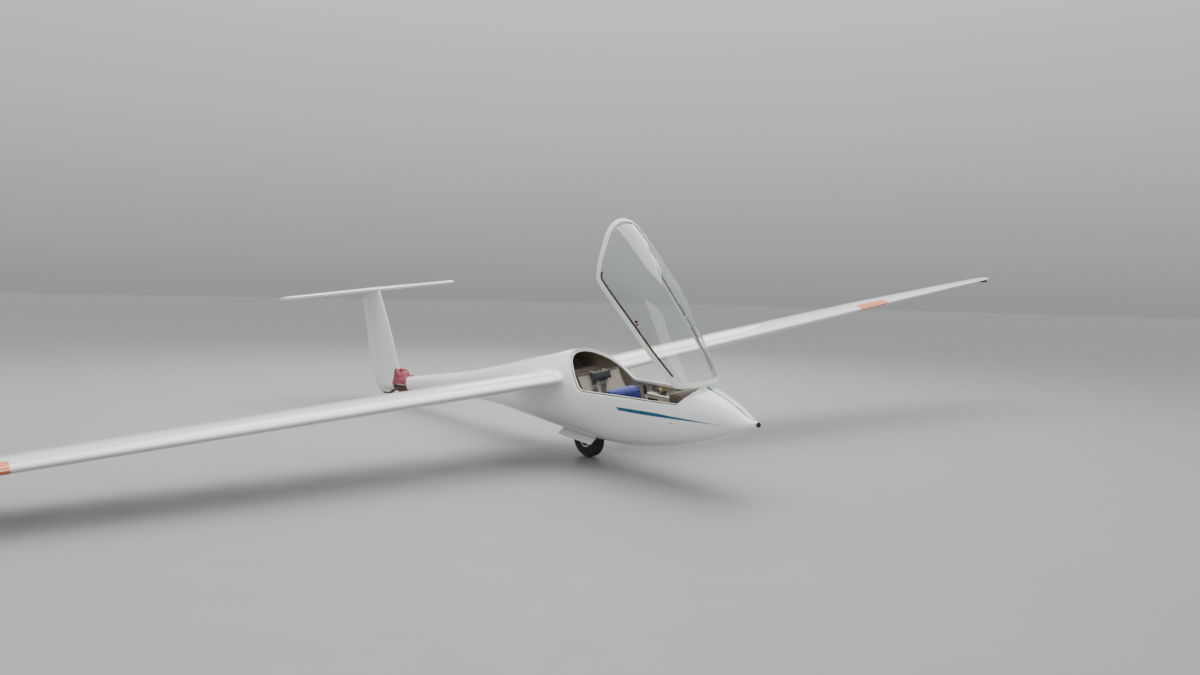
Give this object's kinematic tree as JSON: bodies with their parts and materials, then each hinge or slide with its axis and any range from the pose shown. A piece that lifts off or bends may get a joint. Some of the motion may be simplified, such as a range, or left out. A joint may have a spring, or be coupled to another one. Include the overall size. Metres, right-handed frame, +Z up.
{
  "type": "single-seat sailplane glider, parked with its canopy open",
  "caption": "Slender white T-tail sailplane with long tapered wings, a raised one-piece canopy, a retractable main wheel and a red tail dolly.",
  "frame": {"origin": "on the ground, under the middle of the bounding box", "axes": "+X forward to the nose, +Y to port, +Z up from the ground; the aircraft leans to starboard and sits nose up, as it parks"},
  "size_m": [6.8648, 14.8954, 2.0595],
  "materials": {
    "gelcoat": "white polished gelcoat",
    "frame_white": "white satin moulding",
    "perspex": "clear acrylic",
    "liner": "beige painted laminate",
    "black_leather": "black padded",
    "cushion_fabric": "grey woven",
    "blue_fabric": "royal blue nylon",
    "panel_black": "black crackle",
    "alloy": "machined",
    "steel": "zinc plated",
    "black_rubber": "matt",
    "tyre": "dusty",
    "dolly_red": "faded red"
  },
  "bodies": {
    "airframe": {"fuselage_pod": "gelcoat", "tail_boom_and_fin": "gelcoat", "tailplane": "gelcoat", "wing_left": "gelcoat", "wing_right": "gelcoat", "cockpit_rim": "frame_white", "canopy_hinge_lugs": "alloy", "seat_pan": "liner", "seat_back": "liner", "headrest": "black_leather", "seat_cushion": "cushion_fabric", "back_cushion": "blue_fabric", "instrument_pedestal": "panel_black", "control_stick": "panel_black", "rudder_pedals": "alloy", "side_console_left": "liner", "side_console_right": "liner", "nose_ring": "black_rubber", "tow_hook": "steel", "gear_fork": "steel", "gear_door_left": "gelcoat", "gear_door_right": "gelcoat", "tip_skid_left": "black_rubber", "tip_skid_right": "black_rubber", "tail_skid": "black_rubber", "dolly_upper_clamp": "dolly_red", "dolly_lower_clamp": "dolly_red"},
    "canopy": {"canopy_frame": "frame_white", "canopy_glass": "perspex"},
    "rudder": {"rudder": "gelcoat"},
    "elevator": {"elevator": "gelcoat"},
    "aileron_left": {"aileron_left": "gelcoat"},
    "aileron_right": {"aileron_right": "gelcoat"},
    "airbrake_left": {"airbrake_left": "gelcoat"},
    "airbrake_right": {"airbrake_right": "gelcoat"},
    "main_wheel": {"main_rim": "alloy", "main_tyre": "tyre"},
    "castor_fork": {"castor_fork": "steel"},
    "castor_wheel": {"castor_rim": "alloy", "castor_tyre": "tyre"}
  },
  "joints": [
    {"name": "canopy_hinge", "type": "hinge", "parent": "airframe", "child": "canopy", "pos_m": [2.96854, 0.03313, 0.74388], "axis": [-0.006, 0.9929, 0.1188], "range_deg": [-48.5, 0]},
    {"name": "rudder_hinge", "type": "hinge", "parent": "airframe", "child": "rudder", "pos_m": [-3.07557, 0.0713, 0.11857], "axis": [-0.1232, -0.1186, 0.9853], "range_deg": [-30, 30]},
    {"name": "elevator_hinge", "type": "hinge", "parent": "airframe", "child": "elevator", "pos_m": [-3.22722, -0.08913, 1.45203], "axis": [-0.006, 0.9929, 0.1188], "range_deg": [-20, 25]},
    {"name": "aileron_left_hinge", "type": "hinge", "parent": "airframe", "child": "aileron_left", "pos_m": [0.90233, 4.75553, 1.40629], "axis": [0.071, 0.9863, 0.149], "range_deg": [-18, 18]},
    {"name": "aileron_right_hinge", "type": "hinge", "parent": "airframe", "child": "aileron_right", "pos_m": [0.95985, -4.73662, 0.27084], "axis": [-0.083, 0.9927, 0.0877], "range_deg": [-18, 18]},
    {"name": "airbrake_left_slide", "type": "slide", "parent": "airframe", "child": "airbrake_left", "axis": [-0.0502, -0.1189, 0.9916], "range_m": [0, 0.07]},
    {"name": "airbrake_right_slide", "type": "slide", "parent": "airframe", "child": "airbrake_right", "axis": [-0.0502, -0.1189, 0.9916], "range_m": [0, 0.07]},
    {"name": "main_wheel_spin", "type": "hinge", "parent": "airframe", "child": "main_wheel", "pos_m": [1.43235, 0.09188, 0.17494], "axis": [-0.006, 0.9929, 0.1188], "continuous": true},
    {"name": "castor_swivel", "type": "hinge", "parent": "airframe", "child": "castor_fork", "pos_m": [-2.46635, 0.0713, 0.14943], "axis": [0, 0, 1], "continuous": true},
    {"name": "castor_wheel_spin", "type": "hinge", "parent": "castor_fork", "child": "castor_wheel", "pos_m": [-2.52835, 0.0713, 0.06], "axis": [0, 1, 0], "continuous": true}
  ],
  "couplings": [
    {"joint": "aileron_right_hinge", "follows": "aileron_left_hinge", "ratio": -1},
    {"joint": "airbrake_right_slide", "follows": "airbrake_left_slide", "ratio": 1}
  ]
}
